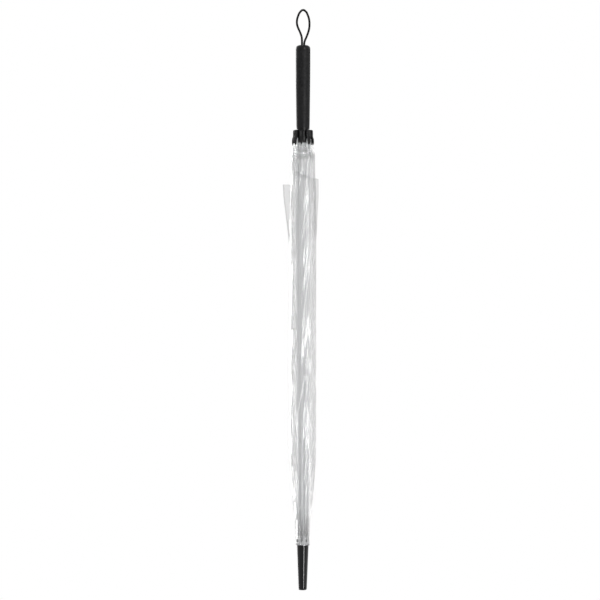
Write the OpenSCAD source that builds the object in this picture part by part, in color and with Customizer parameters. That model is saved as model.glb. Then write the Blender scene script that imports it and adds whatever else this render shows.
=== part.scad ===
// Clear stick umbrella, closed, hanging handle up from its wrist loop.
// The origin is the point where the loop hangs and +Z runs up along the shaft.
// Heights in the modules are measured up from the tip of the ferrule.

/* [Overall] */
// Height of the hanging point above the ferrule tip
hang_height = 1042; // [1020:1:1060]
// Number of ribs
rib_count = 8; // [8:1:8]
// Turn of the first rib about the shaft, in degrees
rib_phase = 37; // [30:1:40]

/* [Shaft] */
// Outer radius of the tubular shaft
shaft_r = 6; // [5.5:0.1:6]
// Wall thickness of the shaft
shaft_wall = 1; // [0.8:0.1:1.2]
// Height where the shaft ends inside the handle
shaft_top = 940; // [900:1:950]

/* [Ferrule] */
// Length of the tapered ferrule
ferrule_length = 81; // [70:1:81]
// Radius of the ferrule where it meets the canopy
ferrule_top_r = 10.8; // [10:0.1:11.2]
// Radius of the ferrule just above its rounded tip
ferrule_tip_r = 7.7; // [7:0.1:8.5]

/* [Frame] */
// Length of a rib from its pivot to its end
rib_length = 722; // [715:1:724]
// Radius of a fibreglass rib
rib_r = 1.6; // [1.4:0.1:1.6]
// Distance from a rib's pivot to its stretcher joint
joint_reach = 335; // [325:1:335]
// Radius of a stretcher rod
stretcher_r = 1.1; // [1:0.1:1.1]
// Radius of the circle that the rib pivots lie on
pivot_r = 9.5; // [9.5:0.1:9.6]
// Height of the rib pivots
crown_height = 92; // [91:1:92]

/* [Handle] */
// Height of the lower end of the grip
grip_bottom = 832; // [831:1:834]
// Height of the upper end of the straight grip
grip_top = 973; // [965:1:975]
// Radius of the grip near its upper end
grip_top_r = 13.1; // [12.5:0.1:13.5]
// Radius of the grip at its lower end
grip_bottom_r = 11.9; // [11.5:0.1:12.5]
// Radius of the wrist cord
cord_r = 1.9; // [1.7:0.1:1.9]

/* [Canopy] */
// Outer radius of the rolled canopy
roll_r = 24.5; // [24:0.1:25]
// Thickness of the rolled film as one layer
roll_wall = 2.6; // [2:0.1:2.6]
// Reach of the flared hem corner on the left
left_flare = 38; // [30:1:38]
// Reach of the flared hem corner on the right
right_flare = 30; // [27:1:32]

/* [Hidden] */
$fn = 64;
gap = 0.05;                 // running clearance of hinges and the sleeve
rib_step = 360 / rib_count;
rib_lean = 0.3;             // outward lean of a closed rib, in degrees
stretcher_side = 3.9;       // sideways offset of a stretcher from its rib
wire_r = 0.6;               // radius of the crown and runner wires
eye_r = 2.1;                // radius of the flat eye at the end of a rib
eye_width = 3;              // width of that eye
slot_width = 3.6;           // width of a crown slot
runner_height = crown_height + 2 * joint_reach * cos(rib_lean);
runner_length = 38;
catch_heights = [788, 462]; // middle of the closing and the opening catch
stop_height = 416;          // height of the pin that the opened runner stops at
catch_azimuth = rib_phase + rib_step;
film_bottom = 112;          // lower end of the film roll
flare_height = 738;         // height of the hem corners
film_top = 800;
NAMES_RIB = [for (k = [1 : rib_count]) str("rib_", k)];
NAMES_TIP = [for (k = [1 : rib_count]) str("rib_tip_", k)];
NAMES_STRETCHER = [for (k = [1 : rib_count]) str("stretcher_", k)];
NAMES_LEFT = [for (k = [1 : rib_count]) str("panel_left_", k)];
NAMES_RIGHT = [for (k = [1 : rib_count]) str("panel_right_", k)];

// Centre line of the wrist cord, from one foot over the top to the other, in hanging coordinates
cord_route = [
    [-2, 0, -72], [-2, 0, -66], [-2, 0, -60], [-2, 0.5, -54], [-2.5, 1, -47], [-5, 1, -39],
    [-8.5, 1, -31], [-10.8, 0.5, -24], [-11, 0, -17], [-9, 0, -9], [-5.5, 0, -2], [0, 0, 1.9],
    [5, 0, -1], [8.5, 0, -7.5], [10.8, 0, -15], [11.5, 0, -23], [11, -0.5, -31], [9, -1, -39],
    [6, -1, -47], [3, -0.5, -54], [2, 0, -60], [2, 0, -66], [2, 0, -72]];

// Outline of the rolled film as height and outer radius, from the crown to the tips
roll_outline = [[film_bottom, 13.4], [126, 14.6], [142, 16.6], [158, 18.2], [180, 20.2], [205, 22.4],
                [235, 23.8], [270, roll_r], [flare_height - 30, roll_r], [flare_height + 12, 21.8],
                [film_top, 21.3]];

module from_tip() {
    translate([0, 0, -hang_height]) children();
}

// Places a child at rib k, with +X pointing away from the shaft
module at_rib(k) {
    rotate([0, 0, rib_phase + (k - 1) * rib_step]) children();
}

// A ring of the given section swept round the shaft, over part of a turn
module ring(points, turn = 360) {
    rotate_extrude(angle = turn) polygon(points);
}

// A round rod across a rib's plane, centred on the plane
module cross_rod(r, length) {
    rotate([90, 0, 0]) cylinder(r = r, h = length, center = true);
}

module wire_ring(r) {
    rotate_extrude() translate([pivot_r, 0]) circle(r = r, $fn = 24);
}

module shaft() {
    color("gainsboro")
    from_tip()
    difference() {
        translate([0, 0, 30]) cylinder(r = shaft_r, h = shaft_top - 30);
        translate([0, 0, 29]) cylinder(r = shaft_r - shaft_wall, h = shaft_top - 28);
        for (h = catch_heights)
            rotate([0, 0, catch_azimuth]) translate([shaft_r, 0, h]) cube([4, 3, 11], center = true);
        rotate([0, 0, catch_azimuth + 90]) translate([0, 0, stop_height])
            rotate([0, 90, 0]) cylinder(r = 1, h = 30, center = true);
    }
}

module ferrule() {
    color("black")
    from_tip()
    difference() {
        ring([[0, 0], [ferrule_tip_r - 2.6, 0], [ferrule_tip_r - 1, 0.6], [ferrule_tip_r - 0.2, 1.8],
              [ferrule_tip_r, 3.5], [ferrule_top_r, ferrule_length], [0, ferrule_length]]);
        translate([0, 0, 30]) cylinder(r = shaft_r, h = ferrule_length);
    }
}

// Notched hub that the ribs turn on
module crown() {
    color("black")
    from_tip()
    difference() {
        union() {
            translate([0, 0, ferrule_length + 1.2]) cylinder(r = 11.4, h = 16.8);
            translate([0, 0, 99]) cylinder(r1 = 7.6, r2 = 7.1, h = 9);
        }
        translate([0, 0, 80]) cylinder(r = shaft_r, h = 40);
        for (k = [1 : rib_count])
            at_rib(k) translate([7.4, -slot_width / 2, 87]) cube([10, slot_width, 20]);
        translate([0, 0, crown_height]) wire_ring(wire_r + gap);
    }
}

module crown_wire() {
    color("silver") from_tip() translate([0, 0, crown_height]) wire_ring(wire_r);
}

// Thin washer between the ferrule and the crown, which clamps the point of the canopy
module crown_cap() {
    color("dimgray")
    from_tip()
    translate([0, 0, ferrule_length])
    difference() {
        cylinder(r = 12.6, h = 1.2);
        translate([0, 0, -1]) cylinder(r = shaft_r, h = 4);
    }
}

// Straight rib with a flat eye at the crown and a clip that carries the stretcher's rivet
module rib(k) {
    color("whitesmoke")
    from_tip()
    at_rib(k)
    translate([pivot_r, 0, crown_height])
    rotate([0, rib_lean, 0])
    difference() {
        union() {
            cross_rod(eye_r, eye_width);
            cylinder(r = rib_r, h = rib_length, $fn = 24);
            translate([0, 0, joint_reach - 6]) cylinder(r = 2.3, h = 12, $fn = 32);
            translate([0, -2.7, joint_reach]) cross_rod(0.9, 5.1);
            translate([0, -5.25, joint_reach]) cross_rod(1.3, 0.4);
        }
        cross_rod(wire_r + 0.2, eye_width + 2);
    }
}

// Moulded tip that caps a rib's end and holds a corner of the film
module rib_tip(k) {
    half = 18.5;
    color("black")
    from_tip()
    difference() {
        rotate([0, 0, rib_phase + (k - 1) * rib_step - half])
            union() {
                ring([[11.1, 813], [17.2, 813], [18.2, 816], [18.2, 825.5], [17, 828], [11.1, 828]],
                     2 * half);
                rotate([0, 0, half - 9])
                    ring([[15.4, 804], [18.6, 801], [20, 803], [20, 812], [18.2, 816], [15.4, 816]], 18);
            }
        at_rib(k) translate([pivot_r, 0, crown_height]) rotate([0, rib_lean, 0])
            cylinder(r = rib_r, h = rib_length, $fn = 24);
    }
}

// Rod from a rib's clip to the runner, beside the rib
module stretcher(k) {
    lean_x = joint_reach * sin(rib_lean);
    lean_z = joint_reach * cos(rib_lean);
    color("whitesmoke")
    from_tip()
    at_rib(k)
    translate([pivot_r + lean_x, -stretcher_side, crown_height + lean_z])
    rotate([0, -rib_lean, 0])
    difference() {
        union() {
            cross_rod(1.7, 2);
            cylinder(r = stretcher_r, h = joint_reach, $fn = 24);
            translate([0, 0, joint_reach]) cross_rod(1.7, 2);
        }
        cross_rod(0.9 + gap, 4);
        translate([0, 0, joint_reach]) cross_rod(0.9, 4);
    }
}

// Sliding sleeve with open slots for the stretchers and a groove that clears the catches
module runner() {
    color("whitesmoke")
    from_tip()
    difference() {
        union() {
            translate([0, 0, runner_height - 6]) cylinder(r = 8.1, h = runner_length);
            translate([0, 0, runner_height - 6]) cylinder(r = 10.8, h = 12);
            translate([0, 0, runner_height + runner_length - 10.5])
                cylinder(r1 = 8.1, r2 = 10.6, h = 2.5);
            translate([0, 0, runner_height + runner_length - 8]) cylinder(r = 10.6, h = 2);
        }
        translate([0, 0, runner_height - 10]) cylinder(r = shaft_r + gap, h = runner_length + 20);
        for (k = [1 : rib_count])
            at_rib(k) translate([7.5, -stretcher_side - 1.4, runner_height - 10])
                cube([10, 2.8, runner_length + 20]);
        rotate([0, 0, catch_azimuth]) translate([0, -1.7, runner_height - 10])
            cube([7.4, 3.4, runner_length + 20]);
        translate([0, 0, runner_height]) rotate_extrude() translate([10.4, 0])
            square([3, 1.6], center = true);
    }
}

// Wire that ties the stretchers' ends into the runner, in its outer groove
module runner_wire() {
    color("silver")
    from_tip()
    difference() {
        translate([0, 0, runner_height]) rotate_extrude() translate([9.55, 0]) circle(r = 0.6, $fn = 16);
        for (k = [1 : rib_count])
            at_rib(k) translate([5, -stretcher_side - 1.4, runner_height - 5]) cube([10, 2.8, 10]);
    }
}

module stop_pin() {
    color("silver")
    from_tip()
    rotate([0, 0, catch_azimuth + 90]) translate([0, 0, stop_height])
        rotate([0, 90, 0]) cylinder(r = 1, h = 15, center = true);
}

// Sprung latch in the shaft: a leaf inside the tube and a nose through the shaft's window
module catch(height) {
    color("silver")
    from_tip()
    rotate([0, 0, catch_azimuth])
    union() {
        translate([2.6, -1.3, height - 5]) cube([1.2, 2.6, 22]);
        translate([3.2, -1.3, height - 5]) rotate([-90, 0, 0]) linear_extrude(2.6)
            polygon([[0, 0], [3.2, 0], [4, -3], [4, -7], [2.8, -10], [0, -10]]);
    }
}

module closing_catch() {
    catch(catch_heights[0]);
}

module opening_catch() {
    catch(catch_heights[1]);
}

// Collar under the grip, which the tips close around
module tip_seat() {
    color("black")
    from_tip()
    difference() {
        union() {
            translate([0, 0, 805]) cylinder(r1 = 9.2, r2 = 10.4, h = 4);
            translate([0, 0, 809]) cylinder(r = 10.4, h = 20.5);
            translate([0, 0, 829.5]) cylinder(r = grip_bottom_r, h = grip_bottom - 829.5);
        }
        translate([0, 0, 800]) cylinder(r = shaft_r, h = 40);
    }
}

// Soft foam grip, slightly wider towards its upper end
module grip() {
    color([0.12, 0.12, 0.12])
    from_tip()
    difference() {
        ring([[0, grip_bottom], [grip_bottom_r, grip_bottom], [grip_bottom_r + 0.2, grip_bottom + 8],
              [12.8, 900], [grip_top_r, 940], [grip_top_r, grip_top], [0, grip_top]]);
        translate([0, 0, grip_bottom - 1]) cylinder(r = shaft_r, h = shaft_top - grip_bottom + 1);
        translate([0, 0, shaft_top - 0.1]) cylinder(r = 8.5, h = 50);
    }
}

// Domed cap with the hole that both ends of the wrist cord pass through
module end_cap() {
    color("black")
    from_tip()
    difference() {
        union() {
            ring([[0, grip_top], [grip_top_r, grip_top], [grip_top_r - 0.1, grip_top + 2.5],
                  [grip_top_r - 1, grip_top + 4.8], [grip_top_r - 3, grip_top + 6.6],
                  [grip_top_r - 6, grip_top + 7.7], [0, grip_top + 8.3]]);
            translate([0, 0, grip_top - 8]) cylinder(r = 8.5, h = 8.5);
        }
        for (side = [-1, 1])
            translate([side * 2, 0, grip_top - 2.5]) cylinder(r = cord_r + 0.15, h = 20, $fn = 32);
        translate([0, 0, grip_top - 9]) cylinder(r = 6.5, h = 6.5);
    }
}

// Knot that keeps both ends of the cord inside the cap
module cord_knot() {
    color("black")
    translate([0, 0, -72])
    ring([[0, -4], [3.4, -4], [5, -2.8], [5.6, -1.2], [5.2, 0], [0, 0]]);
}

function direction(a, b) = (b - a) / norm(b - a);

function tangent(route, i) =
    i == 0 ? direction(route[0], route[1])
    : i == len(route) - 1 ? direction(route[i - 1], route[i])
    : direction(route[i - 1], route[i + 1]);

// One ring of the cord: the Y axis is never along the route, so it sets the ring's frame
function cord_ring(p, t, sides) =
    let (u = cross(t, [0, 1, 0]) / norm(cross(t, [0, 1, 0])), v = cross(t, u))
    [for (j = [0 : sides - 1]) p + cord_r * (cos(360 * j / sides) * u + sin(360 * j / sides) * v)];

module wrist_cord() {
    sides = 8;
    rings = len(cord_route);
    points = [for (i = [0 : rings - 1])
              each cord_ring(cord_route[i], tangent(cord_route, i), sides)];
    walls = [for (i = [0 : rings - 2], j = [0 : sides - 1])
             [i * sides + j, i * sides + (j + 1) % sides,
              (i + 1) * sides + (j + 1) % sides, (i + 1) * sides + j]];
    first = [for (j = [0 : sides - 1]) sides - 1 - j];
    last = [for (j = [0 : sides - 1]) (rings - 1) * sides + j];
    color("black") polyhedron(points, concat(walls, [first, last]));
}

// Half of one canopy panel, rolled round the ribs, from one azimuth over part of a turn
module rolled_film(start, turn) {
    inner = [for (i = [len(roll_outline) - 1 : -1 : 0])
             [roll_outline[i][1] - roll_wall * (i == 0 ? 0.6 : 1), roll_outline[i][0]]];
    outer = [for (p = roll_outline) [p[1], p[0]]];
    rotate([0, 0, start]) ring(concat(outer, inner), turn);
}

// Thin corner of the hem that stands out from the roll
module hem_flare(azimuth, reach) {
    rotate([0, 0, azimuth]) rotate([90, 0, 0]) linear_extrude(1.2, center = true)
        polygon([[roll_r - 1, flare_height - 120], [roll_r - 2, flare_height - 20],
                 [roll_r - 3.4, flare_height + 6], [reach, flare_height - 8], [reach - 2, flare_height - 18]]);
}

module panel_left(k) {
    start = rib_phase + (k - 1) * rib_step;
    color("azure", 0.5)
    from_tip()
    union() {
        rolled_film(start + 0.6, rib_step / 2 - 1.2);
        if (k == 4) hem_flare(180, left_flare);
        if (k == 8) hem_flare(360, right_flare);
    }
}

module panel_right(k) {
    start = rib_phase + (k - 0.5) * rib_step;
    color("azure", 0.5) from_tip() rolled_film(start + 0.6, rib_step / 2 - 1.2);
}

shaft();
ferrule();
crown();
crown_wire();
crown_cap();
runner();
runner_wire();
stop_pin();
closing_catch();
opening_catch();
tip_seat();
grip();
end_cap();
cord_knot();
wrist_cord();
for (k = [1 : rib_count]) {
    rib(k);
    rib_tip(k);
    stretcher(k);
    panel_left(k);
    panel_right(k);
}
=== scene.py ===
"""Clear stick umbrella, closed and hanging handle up from its wrist loop.

The frame gives the ribs, the shaft, the runner and the handle. This script adds the film, the cord
and the moulded rib tips as their own meshes, and a material for every piece. Units are metres and
angles are degrees, and heights are measured up from the tip of the ferrule, as in the part.
"""

import math

import bpy
import numpy as np
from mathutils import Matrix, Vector


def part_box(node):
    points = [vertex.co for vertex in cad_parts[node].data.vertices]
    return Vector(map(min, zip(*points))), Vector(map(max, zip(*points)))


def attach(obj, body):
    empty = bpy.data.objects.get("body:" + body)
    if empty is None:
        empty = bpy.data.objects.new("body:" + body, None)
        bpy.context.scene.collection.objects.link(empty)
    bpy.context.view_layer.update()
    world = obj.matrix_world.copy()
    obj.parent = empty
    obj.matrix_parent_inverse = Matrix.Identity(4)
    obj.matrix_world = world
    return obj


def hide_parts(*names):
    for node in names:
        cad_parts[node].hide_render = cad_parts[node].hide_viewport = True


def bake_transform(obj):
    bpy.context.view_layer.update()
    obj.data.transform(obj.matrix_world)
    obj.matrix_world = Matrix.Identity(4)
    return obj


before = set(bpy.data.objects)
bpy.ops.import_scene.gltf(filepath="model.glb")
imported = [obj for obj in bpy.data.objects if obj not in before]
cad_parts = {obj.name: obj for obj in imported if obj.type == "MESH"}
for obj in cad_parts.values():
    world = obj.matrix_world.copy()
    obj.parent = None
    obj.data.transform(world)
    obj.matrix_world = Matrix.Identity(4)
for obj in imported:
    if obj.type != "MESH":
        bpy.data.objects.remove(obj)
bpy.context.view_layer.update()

MM = 0.001
TIP_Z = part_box("ferrule")[0].z  # the ferrule's tip, where heights start
RIBS = 8
STEP = 360 / RIBS
PHASE = 37.0  # azimuth of the first rib
RIB_LEAN = 0.3  # how far a closed rib leans outwards, in degrees
PIVOT_R, PIVOT_H = 9.5, 92.0  # radius and height of the rib pivots, in mm

# The rolled film, in millimetres until the meshes are made
OUTLINE_H = [82, 112, 126, 142, 158, 180, 205, 235, 270, 708, 750, 813]
OUTLINE_R = [12.6, 13.4, 14.6, 16.6, 18.2, 20.2, 22.4, 23.8, 24.5, 24.5, 21.8, 21.3]
FILM_START = 92.6  # lower end of the panels, at the rib pivots
HEM_AT_RIB, HEM_AT_FOLD = 812.5, 778.0
WRAP = {1: 303, 2: 278, 3: 296, 4: 305, 5: 299, 6: 278, 7: 294, 8: 301}  # turn of each pleat, by panel
TWIST = 0.12  # slow loss of turn from the hem down to the crown, as a share of it
# Azimuths past a half's own rib: the seam between its two strips, and how far back the right half starts
LEFT_SEAM, RIGHT_SEAM, ROOT = 140.0, 95.0, 22.5
CROWN_TURN = 0.2  # share of its turn that a pleat has at the crown
WOUND_H = 255.0  # height where the pleats reach their full turn
FLARES = {6: (13.0, 730.0), 2: (5.4, 740.0)}  # reach beyond the roll and height of the two free corners
FLARE_LENGTH = 112.0  # from where a free corner starts to leave the roll up to its point
APEX_HEIGHTS = (82.3, 92.0)  # from on top of the washer to under the opened ribs
COLUMNS, BACK_COLUMNS = 40, 5  # points round a strip, and those of them that run back to the pleat's root


def height(h):
    return TIP_Z + h * MM


def at(radius, azimuth, h):
    """Point in the frame for a radius in mm, an azimuth in degrees and a height in mm."""
    a = math.radians(azimuth)
    return Vector((radius * math.cos(a) * MM, radius * math.sin(a) * MM, height(h)))


# ---------------------------------------------------------------- camera

FRAME_WIDTH = 1.080  # width of the view at the umbrella
DISTANCE = 5.0
AIM_X, AIM_Z = -0.0051, -0.520  # middle of the view
LEAN = -0.05  # the umbrella hangs this far off the upright of the picture, in degrees


def make_camera():
    data = bpy.data.cameras.new("camera")
    data.sensor_width = 36
    data.lens = data.sensor_width * DISTANCE / FRAME_WIDTH
    data.clip_end = 60
    camera = bpy.data.objects.new("camera", data)
    camera.location = (AIM_X, -DISTANCE, AIM_Z)
    camera.rotation_euler = (math.radians(90), math.radians(LEAN), 0)
    bpy.context.collection.objects.link(camera)
    bpy.context.scene.camera = camera


# ---------------------------------------------------------------- materials


class Surface:
    """A Principled material with a few short calls for its procedural detail."""

    def __init__(self, name, colour, roughness, **sockets):
        self.material = bpy.data.materials.new(name)
        self.material.use_nodes = True
        self.nodes = self.material.node_tree.nodes
        self.links = self.material.node_tree.links
        self.shader = self.nodes["Principled BSDF"]
        self.set("Base Color", (*colour, 1))
        self.set("Roughness", roughness)
        for socket, value in sockets.items():
            self.set(socket.replace("_", " "), value)
        self.bumps = None

    def set(self, socket, value):
        self.shader.inputs[socket].default_value = value

    def node(self, kind, **inputs):
        made = self.nodes.new(kind)
        for name, value in inputs.items():
            made.inputs[name.replace("_", " ")].default_value = value
        return made

    def place(self, output="Object", scale=(1, 1, 1), turn=(0, 0, 0)):
        source = self.node("ShaderNodeTexCoord")
        mapping = self.node("ShaderNodeMapping")
        mapping.inputs["Scale"].default_value = scale
        mapping.inputs["Rotation"].default_value = turn
        self.links.new(source.outputs[output], mapping.inputs["Vector"])
        return mapping.outputs["Vector"]

    def noise(self, place, scale, detail=3.0, distortion=0.0):
        made = self.node("ShaderNodeTexNoise", Scale=scale, Detail=detail, Distortion=distortion)
        self.links.new(place, made.inputs["Vector"])
        return made.outputs["Fac"]

    def ramp(self, value, low, high, start=0.35, end=0.65):
        """Maps a value to a grey or a colour between low and high."""
        made = self.node("ShaderNodeValToRGB")
        self.links.new(value, made.inputs["Fac"])
        first, last = made.color_ramp.elements
        first.position, last.position = start, end
        first.color = (*low, 1) if hasattr(low, "__len__") else (low, low, low, 1)
        last.color = (*high, 1) if hasattr(high, "__len__") else (high, high, high, 1)
        return made.outputs["Color"]

    def feed(self, socket, value):
        self.links.new(value, self.shader.inputs[socket])

    def bump(self, value, strength, distance):
        made = self.node("ShaderNodeBump", Strength=strength, Distance=distance)
        self.links.new(value, made.inputs["Height"])
        if self.bumps is not None:
            self.links.new(self.bumps, made.inputs["Normal"])
        self.bumps = made.outputs["Normal"]
        self.feed("Normal", self.bumps)
        return self


def plastic(name, colour, roughness, grain=900, depth=0.00004, spread=0.06, shine=0.3):
    """Moulded plastic: a fine grain in the surface and a roughness that changes slowly."""
    s = Surface(name, colour, roughness, IOR=1.5, Specular_IOR_Level=shine)
    place = s.place()
    s.feed("Roughness", s.ramp(s.noise(place, 35), roughness - spread, roughness + spread))
    s.bump(s.noise(place, grain, 2), 0.35, depth)
    return s.material


def foam(name):
    """Dense matt foam of the grip: tiny cells and a faint mottling."""
    s = Surface(name, (0.012, 0.012, 0.013), 0.62, IOR=1.45, Specular_IOR_Level=0.22)
    place = s.place()
    s.feed("Base Color", s.ramp(s.noise(place, 260, 5), (0.004, 0.004, 0.0045), (0.01, 0.01, 0.0105)))
    s.feed("Roughness", s.ramp(s.noise(place, 60), 0.44, 0.56))
    cells = s.node("ShaderNodeTexVoronoi", Scale=1100)
    s.links.new(place, cells.inputs["Vector"])
    s.bump(cells.outputs["Distance"], 0.5, 0.00012)
    s.bump(s.noise(place, 120, 4), 0.3, 0.0002)
    return s.material


def metal(name, colour, roughness, along=(1, 1, 0.04)):
    """Drawn or plated metal, with fine lines along its length."""
    s = Surface(name, colour, roughness, Metallic=1.0)
    place = s.place(scale=along)
    s.feed("Roughness", s.ramp(s.noise(place, 1400, 3), roughness - 0.06, roughness + 0.1))
    s.bump(s.noise(place, 1600, 2), 0.15, 0.00002)
    return s.material


def fibreglass(name):
    """Pultruded rod: glass fibres along it, and darker near the crown."""
    s = Surface(name, (0.8, 0.82, 0.82), 0.32, IOR=1.5)
    place = s.place(scale=(1, 1, 0.03))
    height_of = s.node("ShaderNodeSeparateXYZ")
    s.links.new(s.place(), height_of.inputs[0])
    root = s.node("ShaderNodeMapRange")
    root.inputs["From Min"].default_value = height(104)
    root.inputs["From Max"].default_value = height(150)
    s.links.new(height_of.outputs["Z"], root.inputs["Value"])
    fibres = s.ramp(s.noise(place, 1500, 4), (0.5, 0.51, 0.52), (0.66, 0.67, 0.68))
    mix = s.nodes.new("ShaderNodeMix")
    mix.data_type = "RGBA"
    colours = [i for i in mix.inputs if i.type == "RGBA"]
    colours[0].default_value = (0.16, 0.16, 0.165, 1)
    s.links.new(fibres, colours[1])
    s.links.new(root.outputs["Result"], mix.inputs["Factor"])
    s.feed("Base Color", next(o for o in mix.outputs if o.type == "RGBA"))
    s.bump(s.noise(place, 1500, 2), 0.2, 0.00003)
    return s.material


def braid(name):
    """Round braided cord: crossing strands along the curve, with painted shade in the gaps between them."""
    s = Surface(name, (0.01, 0.01, 0.011), 0.7, IOR=1.45, Specular_IOR_Level=0.2)
    place = s.place(turn=(0.0, 0.6, 0.0))
    waves = []
    for lean in (0.7, -0.7):
        wave = s.node("ShaderNodeTexWave", Scale=520, Distortion=0.4)
        s.links.new(s.place(turn=(0, lean, 0)), wave.inputs["Vector"])
        waves.append(wave.outputs["Fac"])
    cross = s.node("ShaderNodeMath")
    cross.operation = "MULTIPLY"
    s.links.new(waves[0], cross.inputs[0])
    s.links.new(waves[1], cross.inputs[1])
    # the colour follows the strands' height: darker in the gaps between them, where the bump is low, as painted
    # shade
    s.feed("Base Color", s.ramp(cross.outputs["Value"], (0.003, 0.003, 0.003), (0.014, 0.014, 0.015), 0, 1))
    s.bump(cross.outputs["Value"], 0.7, 0.0003)
    s.bump(s.noise(place, 2500, 2), 0.3, 0.00005)
    return s.material


def clear_film(name, haze=0.034, tint=0.9995, mirrored=0.014):
    """Clear film: it mirrors a small share of light, more at a grazing angle, and lets the rest through."""
    made = bpy.data.materials.new(name)
    made.use_nodes = True
    nodes, links = made.node_tree.nodes, made.node_tree.links
    nodes.clear()
    out = nodes.new("ShaderNodeOutputMaterial")
    clear = nodes.new("ShaderNodeBsdfTransparent")
    # seen at a grazing angle, light has further to go through the film
    depth = nodes.new("ShaderNodeMapRange")
    depth.inputs["To Min"].default_value = tint
    depth.inputs["To Max"].default_value = 0.72
    gloss = nodes.new("ShaderNodeBsdfGlossy")
    gloss.inputs["Color"].default_value = (1, 1, 1, 1)
    gloss.inputs["Roughness"].default_value = 0.06
    milk = nodes.new("ShaderNodeMixShader")
    milk.inputs["Fac"].default_value = 0.5
    for socket, kind in ((1, "ShaderNodeBsdfTranslucent"), (2, "ShaderNodeBsdfDiffuse")):
        half = nodes.new(kind)
        half.inputs["Color"].default_value = (0.97, 0.97, 0.97, 1)
        links.new(half.outputs["BSDF"], milk.inputs[socket])
    # Schlick's share, the same from both faces: a film has no inside for light to be caught in
    facing = nodes.new("ShaderNodeLayerWeight")
    facing.inputs["Blend"].default_value = 0.5
    grazing = nodes.new("ShaderNodeMath")
    grazing.operation = "POWER"
    grazing.inputs[1].default_value = 3.2
    share = nodes.new("ShaderNodeMapRange")
    share.inputs["To Min"].default_value = mirrored
    share.inputs["To Max"].default_value = 0.9
    mirror = nodes.new("ShaderNodeMixShader")
    hazy = nodes.new("ShaderNodeMixShader")
    # welds are doubled film and denser than the rest of it; the film is also darker in a thin line along
    # the hem, and the free corners are darkened as painted shade
    density_and_painted_shade = nodes.new("ShaderNodeAttribute")
    density_and_painted_shade.attribute_name = "film_density_and_painted_shade"
    shade = nodes.new("ShaderNodeMapRange")
    shade.inputs["To Min"].default_value = 1.0
    shade.inputs["To Max"].default_value = 0.68
    links.new(density_and_painted_shade.outputs["Fac"], shade.inputs["Value"])
    passed = nodes.new("ShaderNodeMath")
    passed.operation = "MULTIPLY"
    links.new(depth.outputs["Result"], passed.inputs[0])
    links.new(shade.outputs["Result"], passed.inputs[1])
    hazy.inputs["Fac"].default_value = haze
    # soft waves, creases and fine wrinkles, laid along the film's own length and width
    coordinates = nodes.new("ShaderNodeTexCoord")
    normal = None
    for scale, stretch, lean, strength, distance, sharp in (
        (38, (1, 0.12, 1), 0.3, 0.8, 0.0014, False),
        (24, (1, 0.2, 1), 0.42, 0.9, 0.0011, True),
        (110, (1, 0.3, 1), 0.5, 0.6, 0.0005, False),
    ):
        mapping = nodes.new("ShaderNodeMapping")
        mapping.inputs["Rotation"].default_value = (0, 0, lean)
        mapping.inputs["Scale"].default_value = stretch
        noise = nodes.new("ShaderNodeTexNoise")
        noise.inputs["Scale"].default_value = scale
        noise.inputs["Detail"].default_value = 3
        bump = nodes.new("ShaderNodeBump")
        bump.inputs["Strength"].default_value = strength
        bump.inputs["Distance"].default_value = distance
        links.new(coordinates.outputs["UV"], mapping.inputs["Vector"])
        links.new(mapping.outputs["Vector"], noise.inputs["Vector"])
        links.new(noise.outputs["Fac"], bump.inputs["Height"])
        if sharp:  # a thin ridge where the noise crosses its middle
            ridge = nodes.new("ShaderNodeValToRGB")
            ridge.color_ramp.elements[0].position, ridge.color_ramp.elements[1].position = 0.44, 0.56
            ridge.color_ramp.elements[1].color = (0, 0, 0, 1)
            ridge.color_ramp.elements.new(0.5).color = (1, 1, 1, 1)
            links.new(noise.outputs["Fac"], ridge.inputs["Fac"])
            links.new(ridge.outputs["Color"], bump.inputs["Height"])
        if normal is not None:
            links.new(normal, bump.inputs["Normal"])
        normal = bump.outputs["Normal"]
    links.new(normal, gloss.inputs["Normal"])
    links.new(normal, facing.inputs["Normal"])
    links.new(facing.outputs["Facing"], grazing.inputs[0])
    links.new(grazing.outputs["Value"], share.inputs["Value"])
    links.new(grazing.outputs["Value"], depth.inputs["Value"])
    links.new(passed.outputs["Value"], clear.inputs["Color"])
    links.new(share.outputs["Result"], mirror.inputs["Fac"])
    links.new(clear.outputs["BSDF"], mirror.inputs[1])
    links.new(gloss.outputs["BSDF"], mirror.inputs[2])
    links.new(mirror.outputs["Shader"], hazy.inputs[1])
    links.new(milk.outputs["Shader"], hazy.inputs[2])
    links.new(hazy.outputs["Shader"], out.inputs["Surface"])
    return made


# ---------------------------------------------------------------- meshes


def new_mesh(name, points, faces, material, smooth=True, uv=None):
    mesh = bpy.data.meshes.new(name)
    mesh.from_pydata([tuple(p) for p in points], [], [tuple(f) for f in faces])
    mesh.update()
    if uv is not None:
        layer = mesh.uv_layers.new(name="UVMap")
        corners = np.empty(len(mesh.loops), dtype=np.int32)
        mesh.loops.foreach_get("vertex_index", corners)
        layer.data.foreach_set("uv", np.asarray(uv, dtype=np.float32)[corners].ravel())
    mesh.polygons.foreach_set("use_smooth", [smooth] * len(mesh.polygons))
    made = bpy.data.objects.new(name, mesh)
    made.data.materials.append(material)
    bpy.context.collection.objects.link(made)
    return made


def grid_faces(rows, columns):
    i = np.arange((rows - 1) * (columns - 1))
    a = i // (columns - 1) * columns + i % (columns - 1)
    return np.stack([a, a + 1, a + columns + 1, a + columns], axis=1)


def smoothstep(x, start, end):
    t = np.clip((x - start) / (end - start), 0, 1)
    return t * t * (3 - 2 * t)


# ---------------------------------------------------------------- film


def outer_radius(h):
    return np.interp(h, OUTLINE_H, OUTLINE_R)


def inner_radius(h):
    """Just outside a closed rib."""
    return np.maximum(11.9, PIVOT_R + (h - PIVOT_H) * math.sin(math.radians(RIB_LEAN)) + 1.9)


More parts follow.
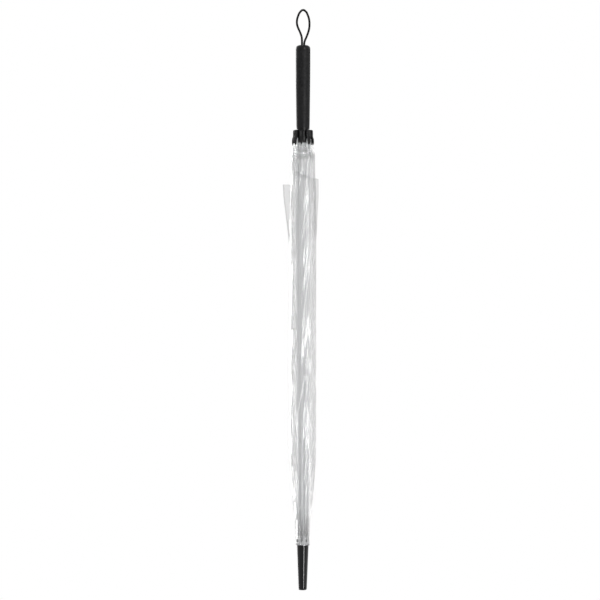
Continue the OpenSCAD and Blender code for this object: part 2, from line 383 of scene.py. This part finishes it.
def ripple(azimuth, h):
    """Creases that run up and round the whole roll, in mm: the same for every layer, so that they push no
    layer through another."""
    a = np.radians(azimuth)
    # strongest on the front right, and calm at both sides of the outline
    rough = 0.3 + 1.5 * np.sin(a) ** 2 * (0.6 + 0.4 * np.cos(a - math.radians(300)))
    made = 0.0
    for turns, climb, phase, size in (
        (3, 0.004, 0.4, 0.32), (6, 0.0055, 2.1, 0.3), (10, 0.0065, 5.0, 0.26),
        (13, 0.0085, 1.2, 0.2), (17, 0.008, 3.3, 0.15),
    ):
        drift = 0.7 * np.sin(0.013 * h + phase) + 0.4 * np.sin(0.031 * h + 2 * phase)
        made = made + size * np.sin(turns * (a - climb * h) + phase + drift)
    return made * rough * smoothstep(h, 95, 220)


def pleat_radius(x, h):
    """Radius in mm of a layer that is the share x round its pleat's turn."""
    loose = 1.8 + 4.4 * smoothstep(h, 705, 790)
    low, high = inner_radius(h), outer_radius(h)
    return low + (high - low) * (1 - (1 - np.clip(x, 0, 1)) ** loose)


def wound(h):
    """Share of its turn that a pleat has at height h: a panel is too narrow near the crown to go round."""
    return CROWN_TURN + (1 - CROWN_TURN) * smoothstep(h, FILM_START, WOUND_H)


def turn_at(k, h):
    """Turn of pleat k at height h, in degrees."""
    return WRAP[k] * wound(h) * (1 - TWIST * (1 - (h - PIVOT_H) / (HEM_AT_FOLD - PIVOT_H)))


def flare(k, x, h):
    """How far the edge of a pleat stands out near its hem, in mm: a free corner, or on other pleats a small
    lip. It isn't kept clear of the pleat before."""
    if k not in FLARES:
        return 1.6 * smoothstep(x, 0.9, 1.0) * smoothstep(h, 690, 745)
    reach, top = FLARES[k]
    up = np.clip((h - (top - FLARE_LENGTH)) / FLARE_LENGTH, 0, 1)
    return reach * up * smoothstep(x, 0.86, 1.0)


def hem_height(s, k):
    """Height of the hem in mm at the share s of the way from the rib to the fold."""
    low = FLARES[k][1] if k in FLARES else HEM_AT_FOLD + 5 * math.sin(2.4 * k)
    return HEM_AT_RIB - (HEM_AT_RIB - low) * (2 * s - s * s)


def film_strip(name, k, side, columns):
    """One strip of half a panel. columns holds, for its columns of points, the azimuth past the strip's
    own rib at a height, and the share of the way to the fold."""
    rows = 120
    first = PHASE + (k - 1 + (side == "right")) * STEP
    lag = STEP if side == "right" else 0.0
    v = np.linspace(0, 1, rows)[:, None]
    psi_of, s_of = columns
    s = s_of[None, :]
    h = FILM_START + (hem_height(s, k) - FILM_START) * v
    psi = psi_of(h)
    whole = turn_at(k, h)
    if side == "left":
        x = psi / whole
    else:
        held = ROOT + (lag - ROOT) * (psi + ROOT) / (whole - lag + ROOT)
        x = (psi + held) / whole
    radius = pleat_radius(x, h) + flare(k, x, h)
    if side == "right":  # the film runs back from its rib to the root of the pleat before it turns round
        back = s < 0.99 * ROOT / WRAP[k]
        radius = np.where(back, inner_radius(h) - 0.1, radius)
    azimuth = first + psi
    radius = radius + ripple(azimuth, h) * np.clip((radius - 11.5) / 13, 0, 1)
    a = np.radians(azimuth)
    points = np.stack([radius * np.cos(a) * MM, radius * np.sin(a) * MM, height(h)], axis=2)
    # UVs are metres of film: along a row half way up, with each half panel in a place of its own, and up
    run = np.concatenate([[0], np.cumsum(np.linalg.norm(np.diff(points[rows // 2], axis=0), axis=1))])
    uv = np.stack([0.4 * k + np.broadcast_to(run[None, :], h.shape) + (0.2 if side == "right" else 0), h * MM], 2)
    made = new_mesh(name, points.reshape(-1, 3), grid_faces(rows, len(s_of)), MATERIAL["film"],
                    uv=uv.reshape(-1, 2))
    weld = 0.5 * (1 - smoothstep(s, 0.008, 0.02))
    hem = 0.28 * smoothstep((h - FILM_START) / (hem_height(s, k) - FILM_START), 0.9905, 0.993)
    # the free corners are the same film as the rest: their darkening is painted shade
    corner = np.clip(flare(k, x, h) / 1.5, 0, 0.42) if k in FLARES else 0 * h
    density_and_painted_shade = np.maximum(np.maximum(weld, hem), corner).astype(np.float32)
    made.data.attributes.new("film_density_and_painted_shade", "FLOAT", "POINT").data.foreach_set("value", density_and_painted_shade.ravel())
    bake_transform(made)
    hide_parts(f"panel_{side}_{k}")


def make_panel(k):
    turn = WRAP[k]

    # left half: from rib k straight round to the fold
    seam = LEFT_SEAM
    u = np.linspace(0, 1, COLUMNS)
    film_strip(
        f"film_left_{k}_inner", k, "left",
        (lambda h: seam * wound(h) * u[None, :], seam / turn * u),
    )
    film_strip(
        f"film_left_{k}_outer", k, "left",
        (lambda h: seam * wound(h) + (turn_at(k, h) - seam * wound(h)) * u[None, :],
         seam / turn + (1 - seam / turn) * u),
    )

    # right half: from rib k + 1 back to the root of the pleat, then round to the same fold
    seam = RIGHT_SEAM
    path = ROOT + ROOT + turn - STEP
    onward = COLUMNS - BACK_COLUMNS
    back = np.concatenate([np.linspace(0, ROOT, BACK_COLUMNS), np.full(onward, ROOT)])
    on = np.concatenate([np.zeros(BACK_COLUMNS), np.linspace(0, 1, onward + 1)[1:]])
    s_in = (back + (seam + ROOT) * on) / path

    def seam_at(h):
        return (seam + STEP) * wound(h) - STEP

    film_strip(
        f"film_right_{k}_inner", k, "right",
        (lambda h: (seam_at(h) + ROOT) * on[None, :] - back[None, :], s_in),
    )
    s_seam = (2 * ROOT + seam) / path
    film_strip(
        f"film_right_{k}_outer", k, "right",
        (lambda h: seam_at(h) + (turn_at(k, h) - STEP - seam_at(h)) * u[None, :],
         s_seam + (1 - s_seam) * u),
    )


def make_apex():
    """The gathered point of the canopy between the ferrule's washer and the rib pivots."""
    rows, columns = 8, 181
    a = np.linspace(0, 2 * math.pi, columns)[None, :]
    h = np.linspace(*APEX_HEIGHTS, rows)[:, None]
    radius = 12.15 + 0.35 * np.cos(24 * a + 0.1 * h) + 0.2 * np.cos(7 * a)
    points = np.stack([radius * np.cos(a) * MM, radius * np.sin(a) * MM, height(h) + 0 * a], axis=2)
    uv = np.stack([radius * a * MM, h * MM + 0 * a], axis=2)
    made = new_mesh("film_apex", points.reshape(-1, 3), grid_faces(rows, columns), MATERIAL["film"],
                    uv=uv.reshape(-1, 2))
    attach(made, "handle_and_shaft")


# ---------------------------------------------------------------- rib tips

# Levels of a moulded tip: height, half width in degrees, inner and outer radius in mm
TIP_LEVELS = [
    (828.0, 13.5, 12.6, 16.6), (827.4, 15.8, 11.6, 17.6), (825.5, 16.8, 11.2, 18.2),
    (818.5, 17.2, 11.2, 18.2), (815.2, 16.2, 11.4, 18.4), (814.0, 12.5, 13.8, 18.8),
    (812.0, 9.5, 15.3, 19.7), (806.5, 7.6, 15.4, 20.1), (803.2, 5.2, 15.5, 19.9), (801.0, 2.2, 15.9, 18.8),
]
# Outline of one level as shares of its half width and of its depth, with a groove down the outside
TIP_OUTLINE = [(-1, 0.12), (-1, 0.85), (-0.86, 1), (-0.3, 1), (-0.16, 0.82), (0.16, 0.82), (0.3, 1),
               (0.86, 1), (1, 0.85), (1, 0.12), (0.86, 0), (-0.86, 0)]


def make_tip(k, material):
    middle = PHASE + (k - 1) * STEP
    points = [
        at(low + depth * (high - low), middle + across * half, h)
        for h, half, low, high in TIP_LEVELS
        for across, depth in TIP_OUTLINE
    ]
    n = len(TIP_OUTLINE)
    faces = [
        (i * n + j, (i + 1) * n + j, (i + 1) * n + (j + 1) % n, i * n + (j + 1) % n)
        for i in range(len(TIP_LEVELS) - 1)
        for j in range(n)
    ]
    faces.append(tuple(range(n)))
    faces.append(tuple(reversed(range((len(TIP_LEVELS) - 1) * n, len(TIP_LEVELS) * n))))
    made = new_mesh(f"moulded_tip_{k}", points, faces, material)
    smooth = made.modifiers.new("rounding", "SUBSURF")
    smooth.levels = smooth.render_levels = 2
    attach(made, f"rib_{k}")
    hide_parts(f"rib_tip_{k}")


# ---------------------------------------------------------------- cord

CORD_D = 0.0038
CORD_ROUTE = [  # from one foot over the top to the other, in mm
    (-2, 0, -72), (-2, 0, -66), (-2, 0, -60), (-2, 0.5, -54), (-2.5, 1, -47), (-5, 1, -39),
    (-8.5, 1, -31), (-10.8, 0.5, -24), (-11, 0, -17), (-9, 0, -9), (-5.5, 0, -2), (0, 0, 1.9),
    (5, 0, -1), (8.5, 0, -7.5), (10.8, 0, -15), (11.5, 0, -23), (11, -0.5, -31), (9, -1, -39),
    (6, -1, -47), (3, -0.5, -54), (2, 0, -60), (2, 0, -66), (2, 0, -72),
]


def make_cord():
    curve = bpy.data.curves.new("wrist_loop", "CURVE")
    curve.dimensions = "3D"
    curve.bevel_depth = CORD_D / 2
    curve.bevel_resolution = 6
    curve.use_fill_caps = True
    curve.resolution_u = 10
    spline = curve.splines.new("BEZIER")
    spline.bezier_points.add(len(CORD_ROUTE) - 1)
    for point, place in zip(spline.bezier_points, CORD_ROUTE):
        point.co = Vector(place) * MM
        point.handle_left_type = point.handle_right_type = "AUTO"
    made = bpy.data.objects.new("wrist_loop", curve)
    curve.materials.append(MATERIAL["cord"])
    bpy.context.collection.objects.link(made)
    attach(made, "handle_and_shaft")
    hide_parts("wrist_cord")


# ---------------------------------------------------------------- stage and light


def make_stage():
    corners = [math.radians(a) for a in range(0, 360, 5)]
    floor = new_mesh("floor", [(2.2 * math.cos(a), 2.2 * math.sin(a), -1.35) for a in corners],
                     [range(len(corners))], pale_floor(), smooth=False)
    floor.visible_glossy = False  # so that it doesn't grey the black parts


def pale_floor():
    made = bpy.data.materials.new("pale_floor")
    made.use_nodes = True
    shader = made.node_tree.nodes["Principled BSDF"]
    shader.inputs["Base Color"].default_value = (0.5, 0.5, 0.5, 1)
    shader.inputs["Roughness"].default_value = 0.9
    shader.inputs["Emission Color"].default_value = (1, 1, 1, 1)
    shader.inputs["Emission Strength"].default_value = 0.02
    return made


def make_world():
    """A white room for the camera, light walls for diffuse light, and darker walls for gloss to show in,
    darkest round the camera."""
    world = bpy.data.worlds.new("studio")
    bpy.context.scene.world = world
    world.use_nodes = True
    nodes, links = world.node_tree.nodes, world.node_tree.links
    nodes.clear()
    direction = nodes.new("ShaderNodeTexCoord")
    towards = nodes.new("ShaderNodeVectorMath")
    towards.operation = "DOT_PRODUCT"
    towards.inputs[1].default_value = (0, -1, 0)
    wall = nodes.new("ShaderNodeMapRange")
    for socket, value in (("From Min", -0.7), ("From Max", 0.7), ("To Min", 0.85), ("To Max", 0.3)):
        wall.inputs[socket].default_value = value
    links.new(direction.outputs["Generated"], towards.inputs[0])
    links.new(towards.outputs["Value"], wall.inputs["Value"])
    path = nodes.new("ShaderNodeLightPath")
    shades = []
    for strength in (1.45, wall.outputs["Result"], 1.0):
        shade = nodes.new("ShaderNodeBackground")
        if isinstance(strength, float):
            shade.inputs["Strength"].default_value = strength
        else:
            links.new(strength, shade.inputs["Strength"])
        shade.inputs["Color"].default_value = (1, 1, 1, 1)
        shades.append(shade.outputs["Background"])
    out = nodes.new("ShaderNodeOutputWorld")
    for kind, other in (("Is Glossy Ray", shades[1]), ("Is Camera Ray", shades[2])):
        mix = nodes.new("ShaderNodeMixShader")
        links.new(path.outputs[kind], mix.inputs["Fac"])
        links.new(shades[0], mix.inputs[1])
        links.new(other, mix.inputs[2])
        shades[0] = mix.outputs["Shader"]
    links.new(shades[0], out.inputs["Surface"])


def area_light(name, azimuth, distance, z, width, tall, power):
    """A soft box that faces the umbrella; azimuth 0 is at the camera and 90 on the right."""
    a = math.radians(azimuth)
    data = bpy.data.lights.new(name, "AREA")
    data.shape = "RECTANGLE"
    data.size, data.size_y = width, tall
    data.energy = power
    light = bpy.data.objects.new(name, data)
    light.location = (distance * math.sin(a), -distance * math.cos(a), z)
    light.rotation_euler = (Vector((0, 0, z)) - light.location).to_track_quat("-Z", "Y").to_euler()
    light.visible_camera = False
    bpy.context.collection.objects.link(light)


def make_lights():
    area_light("strip_front", 27, 3.2, -0.5, 0.32, 2.6, 48)
    area_light("strip_back", 215, 3.0, -0.4, 0.6, 2.6, 40)


# ---------------------------------------------------------------- the whole scene


make_camera()
MATERIAL = {
    "film": clear_film("clear_film"),
    "cord": braid("braided_cord"),
}
make_cord()
make_world()
make_lights()
make_stage()
for k in range(1, RIBS + 1):
    make_panel(k)
make_apex()

STEEL_NODES = ("crown_wire", "runner_wire", "stop_pin", "closing_catch", "opening_catch")


def dress():
    """Gives each node that stays from the frame the finish of what it is made of."""
    steel = metal("spring_steel", (0.62, 0.62, 0.64), 0.25)
    tip = plastic("tip_plastic", (0.004, 0.004, 0.0045), 0.32, shine=0.3)
    cap = plastic("cap_plastic", (0.005, 0.005, 0.0055), 0.42)
    rod = fibreglass("rib_rod")
    finish = {
        "ferrule": plastic("ferrule_plastic", (0.003, 0.003, 0.0035), 0.09, grain=160, depth=0.00001,
                           spread=0.03, shine=0.6),
        "crown": plastic("crown_plastic", (0.3, 0.305, 0.31), 0.3),
        "crown_cap": metal("washer_metal", (0.35, 0.35, 0.36), 0.35, along=(1, 1, 1)),
        "shaft": plastic("shaft_enamel", (0.42, 0.43, 0.44), 0.3, grain=200),
        "runner": plastic("runner_plastic", (0.5, 0.51, 0.51), 0.4),
        "tip_seat": tip,
        "end_cap": cap,
        "cord_knot": cap,
        "grip": foam("grip_foam"),
        **{name: steel for name in STEEL_NODES},
    }
    for k in range(1, RIBS + 1):
        finish[f"rib_{k}"] = rod
        finish[f"stretcher_{k}"] = rod
        make_tip(k, tip)
    for name, material in finish.items():
        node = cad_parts[name]
        node.data.materials.clear()
        node.data.materials.append(material)


dress()

scene = bpy.context.scene
scene.view_settings.view_transform = "Standard"
scene.cycles.transparent_max_bounces = 96
scene.cycles.max_bounces = 16
scene.cycles.glossy_bounces = 8
